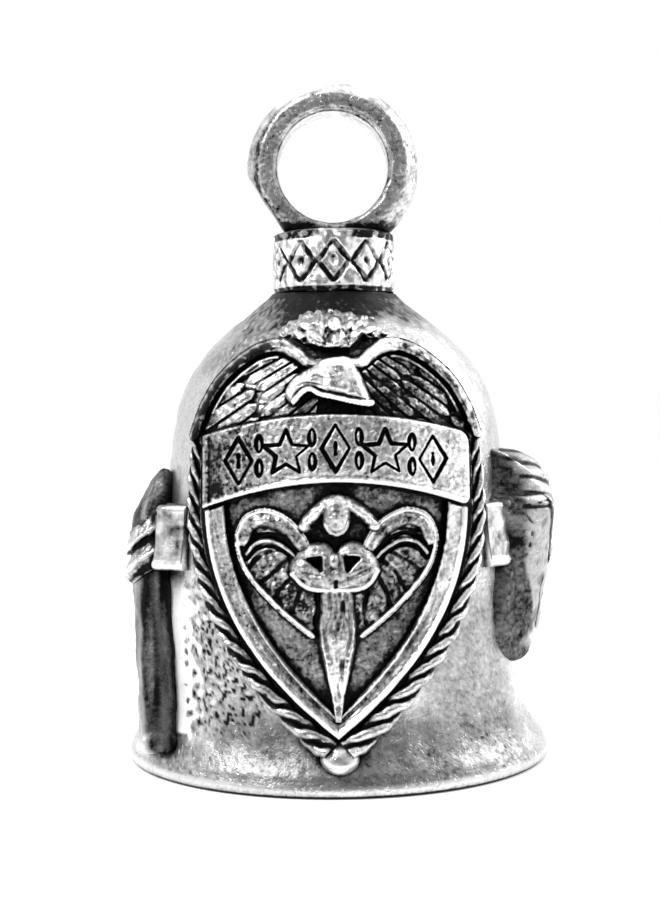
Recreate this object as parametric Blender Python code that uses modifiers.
"""Cast pewter rider's bell: a ring, a collar and a flared bell with a badge on its front,
a belt with a baton and a holster round its sides, and a clapper on a link inside.

All sizes below are in millimetres; MM turns them into Blender's metres. +Z is up, the badge
faces -Y, and the origin is the middle of the lip's underside.
"""

import math

import bmesh
import bpy
from mathutils import Matrix, Vector

MM = 0.001

# driving dimensions, in millimetres
SEAM = 0.03            # gap between two pieces that touch
ROUND_STEPS = 48       # facets round the bell and everything that follows its surface
LIP_RADIUS = 12.0
LIP_INNER_RADIUS = 10.9
SHOULDER_RADIUS = 3.5  # where the dome meets the collar
SHOULDER_Z = 26.3
DOME_FOOT = (9.32, 18.2)       # radius and height where the dome becomes the skirt
SKIRT_FOOT = (10.55, 4.6)      # where the skirt starts to flare
WALL = 1.3
CEILING_Z = 24.2
CEILING_RADIUS = 3.6

COLLAR_TOP_Z = 29.8
RING_CENTRE_Z = 33.45
RING_RADIUS = 4.88
RING_HOLE_RADIUS = 3.12
RING_HALF_DEPTH = 1.5
RING_FLAT = (3.4, 4.25)        # the flat band on each face, from and to this radius

BELT_LOW_Z = 11.1
BELT_HIGH_Z = 14.6
BELT_THICKNESS = 0.5

PLATE_THICKNESS = 0.4
ROPE_TOP_Z = 18.3
ROPE_FOOT_Z = 2.72
ROPE_WIDEST = (7.6, 15.0)      # half width of the rope loop, and the height of that width
ROPE_RADIUS_TOP = 0.4
ROPE_RADIUS_FOOT = 0.62
ROPE_TURN_LENGTH = 2.6
FRAME_OUTER = (7.0, 14.5, 2.95)   # half width at the top, top z, point z
FRAME_INNER = (5.85, 14.5, 4.1)
ARCH = (7.75, 5.9, 18.0)       # half axes and centre z of the ellipse over the eagle's wings
BALL_RADIUS = 0.95
BALL_Z = 1.95

BATON_RADIUS = 1.14
BATON_FOOT = (-55.5, 11.75, 1.3)    # degrees from the front, distance from the axis, z
BATON_TOP = (-80.0, 10.75, 17.0)
BATON_NOSE = 3.0
HOLSTER_AZIMUTH = 82.0         # degrees from the front, to the right
SIDE_GEAR_FACE = [(9.9, 17.6), (10.6, 17.2), (11.6, 16.5), (12.15, 15.7), (12.42, 14.8), (12.42, 13.4),
                  (12.0, 10.0), (11.6, 7.4), (11.3, 6.2), (11.2, 5.5)]   # radius, z down its outer face

STAPLE_WIRE = 0.55
STAPLE_HALF_WIDTH = 1.5
STAPLE_BAR_Z = 20.9
LINK_WIRE = 0.42
LINK_END_RADIUS = 1.05
LINK_STRAIGHT = 2.6
LINK_DROP = 0.04               # the link hangs this much below the middle of the staple's bar
EYE_WIRE = 0.4
EYE_RADIUS = 0.95
CLAPPER_BALL_RADIUS = 2.8
CLAPPER_BALL_Z = 5.6

LINK_FOOT_Z = STAPLE_BAR_Z - LINK_DROP - LINK_STRAIGHT - LINK_END_RADIUS


# ---------------------------------------------------------------- scene and small helpers

def clear_scene():
    for obj in list(bpy.data.objects):
        bpy.data.objects.remove(obj, do_unlink=True)


def new_collection(name):
    collection = bpy.data.collections.new(name)
    bpy.context.scene.collection.children.link(collection)
    return collection


def material(name, colour, roughness, metallic=1.0):
    mat = bpy.data.materials.new(name)
    mat.use_nodes = True
    shader = mat.node_tree.nodes["Principled BSDF"]
    shader.inputs["Base Color"].default_value = (*colour, 1.0)
    shader.inputs["Roughness"].default_value = roughness
    shader.inputs["Metallic"].default_value = metallic
    return mat


def link_new(name, data, collection):
    obj = bpy.data.objects.new(name, data)
    collection.objects.link(obj)
    return obj


def applied(obj):
    """Turn an object and its modifiers into one welded plain mesh, in world space."""
    depsgraph = bpy.context.evaluated_depsgraph_get()
    mesh = bpy.data.meshes.new_from_object(obj.evaluated_get(depsgraph))
    mesh.transform(obj.matrix_world)
    bm = bmesh.new()
    bm.from_mesh(mesh)
    bmesh.ops.remove_doubles(bm, verts=bm.verts, dist=0.002 * MM)
    bmesh.ops.recalc_face_normals(bm, faces=bm.faces)
    bm.to_mesh(mesh)
    bm.free()
    collection = obj.users_collection[0]
    name = obj.name
    bpy.data.objects.remove(obj, do_unlink=True)
    mesh.name = name
    return link_new(name, mesh, collection)


def boolean(obj, other, operation):
    modifier = obj.modifiers.new(operation.title(), "BOOLEAN")
    modifier.operation = operation
    modifier.object = other
    modifier.solver = "EXACT"
    return applied(obj)


def discard(obj):
    bpy.data.objects.remove(obj, do_unlink=True)


def bevelled(obj, width, segments=2, angle=40.0):
    modifier = obj.modifiers.new("Bevel", "BEVEL")
    modifier.width = width * MM
    modifier.segments = segments
    modifier.limit_method = "ANGLE"
    modifier.angle_limit = math.radians(angle)
    return applied(obj)


def turned(name, profile, collection, steps=ROUND_STEPS, closed=False):
    """Turn a profile of (radius, z) about the Z axis. It runs down the outer side."""
    mesh = bpy.data.meshes.new(name)
    points = [(r * MM, 0.0, z * MM) for r, z in profile]
    edges = [(i, i + 1) for i in range(len(points) - 1)]
    if closed:
        edges.append((len(points) - 1, 0))
    mesh.from_pydata(points, edges, [])
    obj = link_new(name, mesh, collection)
    screw = obj.modifiers.new("Screw", "SCREW")
    screw.steps = steps
    screw.render_steps = steps
    screw.use_merge_vertices = True
    screw.merge_threshold = 0.00001
    return applied(obj)


def slab(name, outline, y_from, y_to, collection):
    """A flat outline of (x, z) points, standing in the XZ plane between two depths."""
    curve = bpy.data.curves.new(name, "CURVE")
    curve.dimensions = "2D"
    curve.fill_mode = "BOTH"
    curve.extrude = 0.5 * (y_to - y_from) * MM
    spline = curve.splines.new("POLY")
    spline.points.add(len(outline) - 1)
    for point, (x, z) in zip(spline.points, outline):
        point.co = (x * MM, z * MM, 0.0, 1.0)
    spline.use_cyclic_u = True
    obj = link_new(name, curve, collection)
    obj.rotation_euler = (math.radians(90.0), 0.0, 0.0)
    obj.location = (0.0, 0.5 * (y_from + y_to) * MM, 0.0)
    bpy.context.view_layer.update()
    return applied(obj)


def wire(name, points, radius, collection, closed=False, resolution=2):
    """A round wire along a list of points."""
    curve = bpy.data.curves.new(name, "CURVE")
    curve.dimensions = "3D"
    curve.bevel_depth = radius * MM
    curve.bevel_resolution = resolution
    curve.use_fill_caps = True
    spline = curve.splines.new("POLY")
    spline.points.add(len(points) - 1)
    for point, co in zip(spline.points, points):
        point.co = (*(c * MM for c in co), 1.0)
    spline.use_cyclic_u = closed
    return applied(link_new(name, curve, collection))


def finish(obj, mat, sharp=35.0):
    obj.data.materials.clear()
    obj.data.materials.append(mat)
    obj.data.shade_smooth()
    obj.data.set_sharp_from_angle(angle=math.radians(sharp))


def arc(centre, radius, start, end, steps):
    """Points of (a, b) on an arc, angles in degrees."""
    angles = [math.radians(start + (end - start) * i / steps) for i in range(steps + 1)]
    return [(centre[0] + radius * math.cos(a), centre[1] + radius * math.sin(a)) for a in angles]


def bezier(p0, p1, p2, p3, steps):
    points = []
    for i in range(steps + 1):
        t = i / steps
        s = 1.0 - t
        weights = (s ** 3, 3 * s * s * t, 3 * s * t * t, t ** 3)
        points.append(tuple(sum(w * p[k] for w, p in zip(weights, (p0, p1, p2, p3)))
                            for k in range(2)))
    return points


def mirrored(points):
    return [(-x, z) for x, z in reversed(points)]


# ---------------------------------------------------------------- the bell's own surface

def outer_profile():
    """(radius, z) down the bell's outside, from the collar to just above the lip."""
    dome = bezier((SHOULDER_RADIUS, SHOULDER_Z), (5.7, 24.3), (8.75, 22.9), DOME_FOOT, 9)
    skirt = [(9.62, 15.6), (9.95, 12.2), (10.25, 8.8)]
    flare = bezier(SKIRT_FOOT, (10.75, 2.9), (10.95, 2.1), (11.85, 1.0), 4)
    return dome + skirt + flare


def offset_profile(profile, distance):
    """The same line moved out along its normals by a distance."""
    moved = []
    for i, point in enumerate(profile):
        normals = []
        for a, b in ((i - 1, i), (i, i + 1)):
            if a >= 0 and b < len(profile):
                run = Vector(profile[b]) - Vector(profile[a])
                normals.append(Vector((-run.y, run.x)).normalized())
        middle = sum(normals, Vector((0.0, 0.0))).normalized()
        moved.append(tuple(Vector(point) + middle * distance / middle.dot(normals[0])))
    return moved


def surface_radius(z, height=0.0):
    """Distance of the bell's outside from its axis at a height above the lip."""
    line = offset_profile(outer_profile(), height)
    for (r_a, z_a), (r_b, z_b) in zip(line, line[1:]):
        if z_b <= z <= z_a:
            return r_a + (r_b - r_a) * (z_a - z) / (z_a - z_b)
    return line[0][0] if z > line[0][1] else line[-1][0]


def on_surface(x, z, height):
    """A point a height above the bell's front surface, at sideways place x and height z."""
    radius = surface_radius(z, height)
    return Vector((x, -math.sqrt(max(radius * radius - x * x, 0.01)), z))


def at_azimuth(degrees, distance, z):
    """A point at a distance from the axis; 0 degrees is the front, 90 is the right."""
    a = math.radians(degrees)
    return Vector((distance * math.sin(a), -distance * math.cos(a), z))


def layer(name, low, high, collection):
    """A skin over the whole bell between two heights above its surface."""
    profile = outer_profile()
    outside = offset_profile(profile, high)
    inside = offset_profile(profile, low)
    return turned(name, outside + inside[::-1], collection, closed=True)


def relief(name, outline, low, high, collection):
    """An outline seen from the front, raised between two heights above the bell."""
    piece = slab(name, outline, -16.0, -1.0, collection)
    skin = layer(name + "_skin", low, high, collection)
    piece = boolean(piece, skin, "INTERSECT")
    discard(skin)
    return piece


# ---------------------------------------------------------------- bell, collar and ring

def make_bell_shell(parts):
    outside = outer_profile()
    lip = [(11.97, 0.75), (LIP_RADIUS, 0.5), (LIP_RADIUS, 0.15), (11.86, 0.0)]
    mouth = [(LIP_INNER_RADIUS, 0.0), (10.7, 0.35)]
    wall = [p for p in offset_profile(outside, -WALL) if p[1] < 23.2][1::2]
    inside = mouth + [(10.05, 2.6)] + [p for p in reversed(wall) if p[1] > 3.6]
    ceiling = [(CEILING_RADIUS + 1.3, CEILING_Z - 0.55), (CEILING_RADIUS, CEILING_Z), (0.0, CEILING_Z)]
    profile = [(0.0, SHOULDER_Z)] + outside + lip + inside + ceiling
    return turned("bell_shell", profile, parts)


def make_neck_collar(parts):
    low = SHOULDER_Z + SEAM
    r = SHOULDER_RADIUS
    profile = [(0.0, COLLAR_TOP_Z), (r - 0.45, COLLAR_TOP_Z), (r - 0.1, COLLAR_TOP_Z - 0.1),
               (r, COLLAR_TOP_Z - 0.3), (r, COLLAR_TOP_Z - 0.55), (r - 0.12, COLLAR_TOP_Z - 0.65),
               (r - 0.12, low + 0.6), (r, low + 0.5), (r, low + 0.2), (r - 0.15, low), (0.0, low)]
    return turned("neck_collar", profile, parts, steps=40)


def make_hanging_ring(parts, cutters):
    d = RING_HALF_DEPTH
    section = [(RING_RADIUS - 0.14, d * 0.5), (RING_RADIUS, 0.0), (RING_RADIUS - 0.14, -d * 0.5),
               (RING_FLAT[1], -d), (RING_FLAT[0], -d), (RING_HOLE_RADIUS, -d * 0.6),
               (RING_HOLE_RADIUS, d * 0.6), (RING_FLAT[0], d), (RING_FLAT[1], d)]
    ring = turned("hanging_ring", section, parts, steps=48, closed=True)
    ring.rotation_euler = (math.radians(90.0), 0.0, 0.0)
    ring.location = (0.0, 0.0, RING_CENTRE_Z * MM)
    bpy.context.view_layer.update()
    ring = applied(ring)
    foot = COLLAR_TOP_Z + SEAM
    below = slab("ring_foot_cutter", [(-6, foot - 4), (6, foot - 4), (6, foot), (-6, foot)],
                 -4.0, 4.0, cutters)
    ring = boolean(ring, below, "DIFFERENCE")
    discard(below)
    return ring


# ---------------------------------------------------------------- the badge

def banner_top(x):
    return 19.55 - 0.022 * x * x


def banner_foot(x):
    return 16.0 - 0.029 * x * x


def shield_side(shape, steps):
    """Right-hand side of a shield from its top corner to its point."""
    half_width, top, point = shape
    side = []
    for i in range(steps + 1):
        t = i / steps
        side.append((half_width * (1.0 - t ** 2.35), top - (top - point) * t))
    return side


def rope_half_width(z):
    width, widest_z = ROPE_WIDEST
    if z > widest_z:
        return width - 0.028 * (z - widest_z) ** 2
    t = (widest_z - z) / (widest_z - 2.0)
    return width * (1.0 - t ** 2.25)


def rope_radius(z):
    t = (z - ROPE_FOOT_Z) / (ROPE_TOP_Z - ROPE_FOOT_Z)
    return ROPE_RADIUS_FOOT + (ROPE_RADIUS_TOP - ROPE_RADIUS_FOOT) * t ** 0.8


def rope_line():
    """(x, z) down the middle of the right-hand rope, closely and evenly spaced."""
    line = []
    steps = 400
    for i in range(steps + 1):
        t = i / steps
        z = ROPE_TOP_Z - (ROPE_TOP_Z - ROPE_FOOT_Z) * t
        line.append((rope_half_width(z), z))
    spaced = [line[0]]
    for point in line[1:]:
        if math.dist(point, spaced[-1]) >= 0.42:
            spaced.append(point)
    return spaced


def arch_point(degrees, shrink=0.0):
    a = math.radians(degrees)
    return ((ARCH[0] - shrink) * math.cos(a), ARCH[2] + (ARCH[1] - shrink) * math.sin(a))


def make_badge_plate(parts):
    """The backing inside the ropes and under the eagle."""
    clear = 0.1
    arch = [arch_point(d, 0.2) for d in range(86, 4, -9)]
    side = []
    for x, z in rope_line()[::3]:
        side.append((x - rope_radius(z) - clear, z))
    side = [p for p in side if p[0] > 0.6]
    right = arch + side
    outline = right + [(0.0, side[-1][1] - 0.35)] + mirrored(right)
    return relief("badge_plate", outline, SEAM, PLATE_THICKNESS, parts)


def make_rope(name, side, parts, cutters):
    """A twisted two-strand cord laid on the bell, thicker towards its foot."""
    section = bpy.data.curves.new(name + "_section", "CURVE")
    section.dimensions = "2D"
    spline = section.splines.new("POLY")
    lobes = 8
    spline.points.add(lobes - 1)
    for i, point in enumerate(spline.points):
        a = 2 * math.pi * i / lobes
        size = 0.85 + 0.15 * math.cos(2 * a)
        point.co = (size * math.cos(a) * MM, size * math.sin(a) * MM, 0.0, 1.0)
    spline.use_cyclic_u = True
    section_object = link_new(name + "_section", section, cutters)

    curve = bpy.data.curves.new(name, "CURVE")
    curve.dimensions = "3D"
    curve.twist_mode = "MINIMUM"
    curve.bevel_mode = "OBJECT"
    curve.bevel_object = section_object
    curve.use_fill_caps = True
    line = rope_line()
    path = curve.splines.new("POLY")
    path.points.add(len(line) - 1)
    length = 0.0
    previous = None
    for point, (x, z) in zip(path.points, line):
        radius = rope_radius(z)
        place = on_surface(side * x, z, SEAM + radius * 1.02)
        if previous is not None:
            length += (place - previous).length
        previous = place
        point.co = (*(place * MM), 1.0)
        point.radius = radius
        point.tilt = side * 2 * math.pi * length / ROPE_TURN_LENGTH
    rope = applied(link_new(name, curve, parts))
    discard(section_object)
    return rope


def make_border_ball(parts, envelope):
    mesh = bpy.data.meshes.new("border_ball")
    bm = bmesh.new()
    bmesh.ops.create_uvsphere(bm, u_segments=20, v_segments=12, radius=BALL_RADIUS * MM)
    bm.to_mesh(mesh)
    bm.free()
    ball = link_new("border_ball", mesh, parts)
    ball.location = on_surface(0.0, BALL_Z, 0.3) * MM
    bpy.context.view_layer.update()
    return boolean(applied(ball), envelope, "DIFFERENCE")


def make_shield_frame(parts):
    """The raised V-shaped rim, open at the top where the banner lies."""
    steps = 12
    outer = shield_side(FRAME_OUTER, steps)
    inner = shield_side(FRAME_INNER, steps)
    outer[0] = (outer[0][0], banner_foot(outer[0][0]) - 2 * SEAM)
    inner[0] = (inner[0][0], banner_foot(inner[0][0]) - 2 * SEAM)
    outline = outer[:-1] + [(0.0, outer[-1][1])] + mirrored(outer[:-1])
    outline += inner_loop(inner)
    return relief("shield_frame", outline, PLATE_THICKNESS + SEAM, 1.1, parts)


def inner_loop(inner):
    """The frame's inner edge, walked from the left top down and up to the right top."""
    left = [(-x, z) for x, z in inner[:-1]]
    right = list(reversed(inner[:-1]))
    return left + [(0.0, inner[-1][1])] + right


def make_banner(parts):
    half = 6.95
    xs = [half - 2 * half * i / 14 for i in range(15)]
    top = [(x, banner_top(x)) for x in xs]
    foot = [(x, banner_foot(x)) for x in reversed(xs)]
    top[0] = (half - 0.25, top[0][1])
    top[-1] = (-half + 0.25, top[-1][1])
    return relief("banner", top + [(-half, top[-1][1] - 0.3)] + foot + [(half, top[0][1] - 0.3)],
                  PLATE_THICKNESS + SEAM, 1.2, parts)


def make_eagle_wing(name, side, root, parts):
    """One raised wing: a thick arched edge with feathers that end on the banner."""
    arch = [arch_point(d) for d in range(68, 4, -8)] + [(7.5, banner_top(7.5) + 0.12)]
    foot = [(x, banner_top(x) + 0.08) for x in (6.2, 5.0, 3.9, 3.1)]
    outline = [(side * x, z) for x, z in arch + foot + root]
    return relief(name, outline, PLATE_THICKNESS + SEAM, 1.0, parts)


def make_eagle_body(parts):
    """Head and neck seen from the side, the beak to the left."""
    crown = bezier((-2.6, 20.7), (-2.35, 21.9), (-1.0, 22.1), (-0.55, 22.35), 5)
    back = bezier((0.75, 22.4), (1.45, 21.7), (1.75, 20.9), (1.8, 20.15), 4)
    breast = bezier((1.6, 20.02), (0.2, 20.2), (-0.7, 20.5), (-1.35, 20.75), 4)
    beak = [(-1.7, 20.65), (-2.15, 20.2), (-2.5, 20.3)]
    return relief("eagle_body", crown + back + breast + beak, PLATE_THICKNESS + SEAM, 1.75, parts)


def make_crest_rays(parts):
    """A small fan of five rounded petals above the eagle."""
    centre = (0.0, 22.75)
    petals = 5
    outline = []
    steps = petals * 5
    for i in range(steps + 1):
        t = i / steps
        angle = math.radians(168.0 - 156.0 * t)
        reach = 1.25 + 0.55 * abs(math.sin(math.pi * petals * t)) + 0.25 * math.sin(math.pi * t)
        outline.append((centre[0] + reach * math.cos(angle), centre[1] + reach * math.sin(angle)))
    return relief("crest_rays", outline + [(0.75, 22.72), (-0.75, 22.72)],
                  PLATE_THICKNESS + SEAM, 0.95, parts)


def make_figure_body(parts):
    """A standing robed figure: head, folded arms and a robe that narrows to its foot."""
    head = arc((0.0, 14.4), 0.86, -35.0, 215.0, 12)
    left = [(-0.55, 13.35), (-1.3, 12.98), (-2.1, 12.3), (-2.4, 11.6), (-1.9, 10.75), (-0.95, 10.35),
            (-0.95, 9.8), (-1.08, 8.7), (-0.75, 6.8), (-0.4, 4.75)]
    right = [(-x, z) for x, z in reversed(left)]
    return relief("figure_body", head + left + right, PLATE_THICKNESS + SEAM, 1.45, parts)


def make_figure_wing(name, side, parts):
    """A rounded wing beside the figure, with a point at its foot."""
    clear = 0.08
    lobe = bezier((1.5, 13.4 + clear), (2.6, 14.9), (5.4, 15.2), (5.25, 12.9), 8)
    edge = bezier((5.25, 12.9), (5.1, 11.2), (3.2, 9.4), (1.35, 8.05), 7)[1:]
    back = [(1.25, 8.9), (1.12, 10.2), (2.1, 10.66), (2.62, 11.6), (2.3, 12.45)]
    outline = [(side * x, z) for x, z in lobe + edge + back]
    return relief(name, outline, PLATE_THICKNESS + SEAM, 0.9, parts)


# ---------------------------------------------------------------- belt, baton and holster

def belt_line(extra):
    """The bell's outside with the belt's bump on it, both grown by a margin."""
    line = offset_profile(outer_profile(), extra)
    bump = []
    for z in (BELT_HIGH_Z + extra, BELT_LOW_Z - extra):
        bump.append((surface_radius(z, extra), z))
        bump.append((surface_radius(z, BELT_THICKNESS + extra), z))
    bump[2], bump[3] = bump[3], bump[2]
    above = [p for p in line if p[1] > BELT_HIGH_Z + extra]
    below = [p for p in line if p[1] < BELT_LOW_Z - extra]
    return above + bump + below


def make_envelope(cutters):
    """The solid that the gear must stay out of: the bell and its belt, and a seam."""
    line = belt_line(SEAM)
    profile = [(0.0, line[0][1])] + line + [(LIP_RADIUS + 0.1, 0.8), (LIP_RADIUS + 0.1, -0.5), (0.0, -0.5)]
    envelope = turned("envelope", profile, cutters)
    envelope.hide_render = True
    envelope.display_type = "WIRE"
    return envelope


def make_duty_belt(parts, cutters):
    """A flat band round the skirt, open in front where the badge stands."""
    low, high, thick = BELT_LOW_Z, BELT_HIGH_Z, BELT_THICKNESS
    edge = 0.12
    profile = [(surface_radius(high, SEAM), high), (surface_radius(high, thick - edge), high),
               (surface_radius(high - edge, thick), high - edge),
               (surface_radius(low + edge, thick), low + edge),
               (surface_radius(low, thick - edge), low), (surface_radius(low, SEAM), low)]
    belt = turned("duty_belt", profile, parts, closed=True)
    half = ROPE_WIDEST[0] + ROPE_RADIUS_TOP + 0.22
    front = slab("belt_cutter", [(-half, low - 1), (half, low - 1), (half, high + 1), (-half, high + 1)],
                 -16.0, 0.0, cutters)
    belt = boolean(belt, front, "DIFFERENCE")
    discard(front)
    return belt


def baton_matrix():
    """Puts a piece made upright on the Z axis onto the bell's side, leaning as the baton hangs."""
    low = at_azimuth(*BATON_FOOT) * MM
    high = at_azimuth(*BATON_TOP) * MM
    up = (high - low).normalized()
    tilt = Vector((0.0, 0.0, 1.0)).rotation_difference(up).to_matrix().to_4x4()
    return Matrix.Translation(low) @ tilt @ Matrix.Translation((0.0, 0.0, -BATON_FOOT[2] * MM))


def make_baton(parts, envelope):
    """The baton: a straight round shaft with a rounded nose."""
    r = BATON_RADIUS
    shaft = r * 0.92
    foot_z, nose_z = BATON_FOOT[2], BATON_TOP[2] - BATON_NOSE
    top = [(r * math.sin(math.radians(a)), nose_z + BATON_NOSE * math.cos(math.radians(a)))
           for a in range(0, 91, 15)]
    profile = top + [(shaft, nose_z - 0.2), (shaft, foot_z + 0.6), (r * 0.7, foot_z), (0.0, foot_z)]
    baton = turned("baton", profile, parts, steps=20)
    baton.matrix_world = baton_matrix()
    bpy.context.view_layer.update()
    return boolean(applied(baton), envelope, "DIFFERENCE")


def make_baton_ring(parts, envelope):
    """The flared keeper that carries the baton: two collars one above the other."""
    hole = BATON_RADIUS * 0.92 + SEAM
    profile = [(1.22, 13.7), (1.46, 13.15), (1.24, 12.95), (1.28, 12.65), (1.64, 11.95), (1.54, 11.7),
               (1.24, 11.1), (hole, 11.1), (hole, 13.7)]
    ring = turned("baton_ring", profile, parts, steps=20, closed=True)
    ring.matrix_world = baton_matrix()
    bpy.context.view_layer.update()
    return boolean(applied(ring), envelope, "DIFFERENCE")


def make_gear_face(cutters):
    """The round outer face that the holster and the grip share."""
    profile = [(0.0, SIDE_GEAR_FACE[0][1])] + SIDE_GEAR_FACE + [(0.0, SIDE_GEAR_FACE[-1][1])]
    face = turned("gear_face", profile, cutters, steps=96)
    face.hide_render = True
    face.display_type = "WIRE"
    return face


def side_slab(name, outline, parts, envelope, face):
    """A shape against the bell's right side: outline of (distance along the side, z)."""
    piece = slab(name, outline, -14.0, -8.2, parts)
    piece.rotation_euler = (0.0, 0.0, math.radians(HOLSTER_AZIMUTH))
    bpy.context.view_layer.update()
    piece = boolean(applied(piece), face, "INTERSECT")
    piece = bevelled(piece, 0.3, segments=1)
    return boolean(piece, envelope, "DIFFERENCE")


def make_holster(parts, envelope, face):
    top = 14.75
    front, back = -3.3, 3.3
    toe = arc((-1.75, 7.1), 1.1, 270.0, 340.0, 4)
    outline = [(front, top), (front, 7.0), (-2.6, 6.1)] + toe + [(0.9, 9.6), (back, 12.3), (back, top)]
    return side_slab("holster", outline, parts, envelope, face)


def make_pistol_grip(parts, envelope, face):
    low = 14.75 + SEAM
    back = bezier((2.6, low), (3.0, 15.8), (2.6, 17.2), (0.9, 17.25), 5)
    front = bezier((-0.6, 17.15), (-1.5, 17.0), (-1.9, 16.3), (-2.5, 16.2), 4)
    spur = [(-2.95, 17.35), (-3.05, 16.0)]
    outline = back + front + spur + [(-2.9, low)]
    return side_slab("pistol_grip", outline, parts, envelope, face)


# ---------------------------------------------------------------- inside the bell

def make_staple(parts):
    """A U of wire set in the ceiling; the link hangs on its bar, which lies along X."""
    half, bar, bend = STAPLE_HALF_WIDTH, STAPLE_BAR_Z, 0.85
    top = CEILING_Z - SEAM
    left = arc((-half + bend, bar + bend), bend, 180.0, 270.0, 5)
    right = arc((half - bend, bar + bend), bend, 270.0, 360.0, 5)
    route = [(-half, top)] + left + right + [(half, top)]
    return wire("clapper_staple", [(x, 0.0, z) for x, z in route], STAPLE_WIRE, parts)


def make_link(parts):
    """An oval of wire across the staple's bar."""
    high = STAPLE_BAR_Z - LINK_DROP
    low = high - LINK_STRAIGHT
    route = arc((0.0, high), LINK_END_RADIUS, 0.0, 180.0, 8)
    route += arc((0.0, low), LINK_END_RADIUS, 180.0, 360.0, 8)
    link = wire("clapper_link", [(0.0, y, z) for y, z in route], LINK_WIRE, parts, closed=True)
    return link


def make_clapper(parts, cutters):
    """A drop-shaped striker with an eye at its top, hung on the link's foot."""
    eye_z = LINK_FOOT_Z
    route = [(x, 0.0, z) for x, z in arc((0.0, eye_z), EYE_RADIUS, 0.0, 345.0, 23)]
    eye = wire("clapper_eye", route, EYE_WIRE, cutters, closed=True)
    neck = eye_z - EYE_RADIUS
    ball_r, ball_z = CLAPPER_BALL_RADIUS, CLAPPER_BALL_Z
    ball = [(ball_r * math.sin(math.radians(a)), ball_z + ball_r * math.cos(math.radians(a)))
            for a in range(30, 181, 15)]
    ball[-1] = (0.0, ball_z - ball_r)
    stem = [(0.0, neck), (0.5, neck - 0.1), (0.62, neck - 0.8), (0.62, 11.2), (0.85, 9.6)]
    clapper = turned("clapper", stem + ball, parts, steps=24)
    clapper = boolean(clapper, eye, "UNION")
    discard(eye)
    return clapper


# ---------------------------------------------------------------- assembly

def set_origin(obj, x, y, z):
    """Move an object's origin onto its joint's axis and leave its shape where it is."""
    place = Vector((x, y, z)) * MM
    obj.data.transform(Matrix.Translation(-place))
    obj.location = place


def main():
    clear_scene()
    parts = new_collection("riders_bell")
    cutters = new_collection("cutters")
    pewter = (0.47, 0.47, 0.46)
    raised = (0.56, 0.56, 0.55)
    dark = (0.16, 0.16, 0.16)
    beside_beak = [(2.95, 20.3), (2.75, 21.1), (2.3, 21.75), (1.6, 22.25), (1.45, 22.5), (1.9, 22.95)]
    beside_nape = [(2.35, 20.5), (2.0, 21.3), (1.6, 22.2), (1.9, 22.95)]

    envelope = make_envelope(cutters)
    face = make_gear_face(cutters)
    made = [
        (make_bell_shell(parts), material("shell_pewter", pewter, 0.38)),
        (make_neck_collar(parts), material("collar_pewter", pewter, 0.4)),
        (make_hanging_ring(parts, cutters), material("ring_pewter", pewter, 0.35)),
        (make_badge_plate(parts), material("plate_patina", dark, 0.55)),
        (make_rope("rope_border_left", -1, parts, cutters), material("rope_pewter_left", raised, 0.35)),
        (make_rope("rope_border_right", 1, parts, cutters), material("rope_pewter_right", raised, 0.35)),
        (make_border_ball(parts, envelope), material("ball_pewter", raised, 0.25)),
        (make_shield_frame(parts), material("frame_pewter", raised, 0.35)),
        (make_banner(parts), material("banner_pewter", raised, 0.42)),
        (make_eagle_wing("eagle_wing_left", -1, beside_beak, parts), material("wing_left", pewter, 0.42)),
        (make_eagle_wing("eagle_wing_right", 1, beside_nape, parts), material("wing_right", pewter, 0.42)),
        (make_eagle_body(parts), material("eagle_pewter", raised, 0.35)),
        (make_crest_rays(parts), material("crest_pewter", raised, 0.38)),
        (make_figure_body(parts), material("figure_pewter", raised, 0.38)),
        (make_figure_wing("figure_wing_left", -1, parts), material("figure_wing_left", pewter, 0.42)),
        (make_figure_wing("figure_wing_right", 1, parts), material("figure_wing_right", pewter, 0.42)),
        (make_duty_belt(parts, cutters), material("belt_pewter", pewter, 0.4)),
        (make_baton(parts, envelope), material("baton_pewter", pewter, 0.36)),
        (make_baton_ring(parts, envelope), material("baton_ring_pewter", raised, 0.38)),
        (make_holster(parts, envelope, face), material("holster_pewter", pewter, 0.42)),
        (make_pistol_grip(parts, envelope, face), material("grip_pewter", pewter, 0.42)),
        (make_staple(parts), material("staple_steel", (0.55, 0.55, 0.54), 0.35)),
    ]
    link = make_link(parts)
    set_origin(link, 0.0, 0.0, STAPLE_BAR_Z)
    made.append((link, material("link_steel", (0.55, 0.55, 0.54), 0.35)))
    clapper = make_clapper(parts, cutters)
    set_origin(clapper, 0.0, 0.0, LINK_FOOT_Z)
    made.append((clapper, material("clapper_pewter", pewter, 0.4)))

    for obj, mat in made:
        finish(obj, mat)


main()
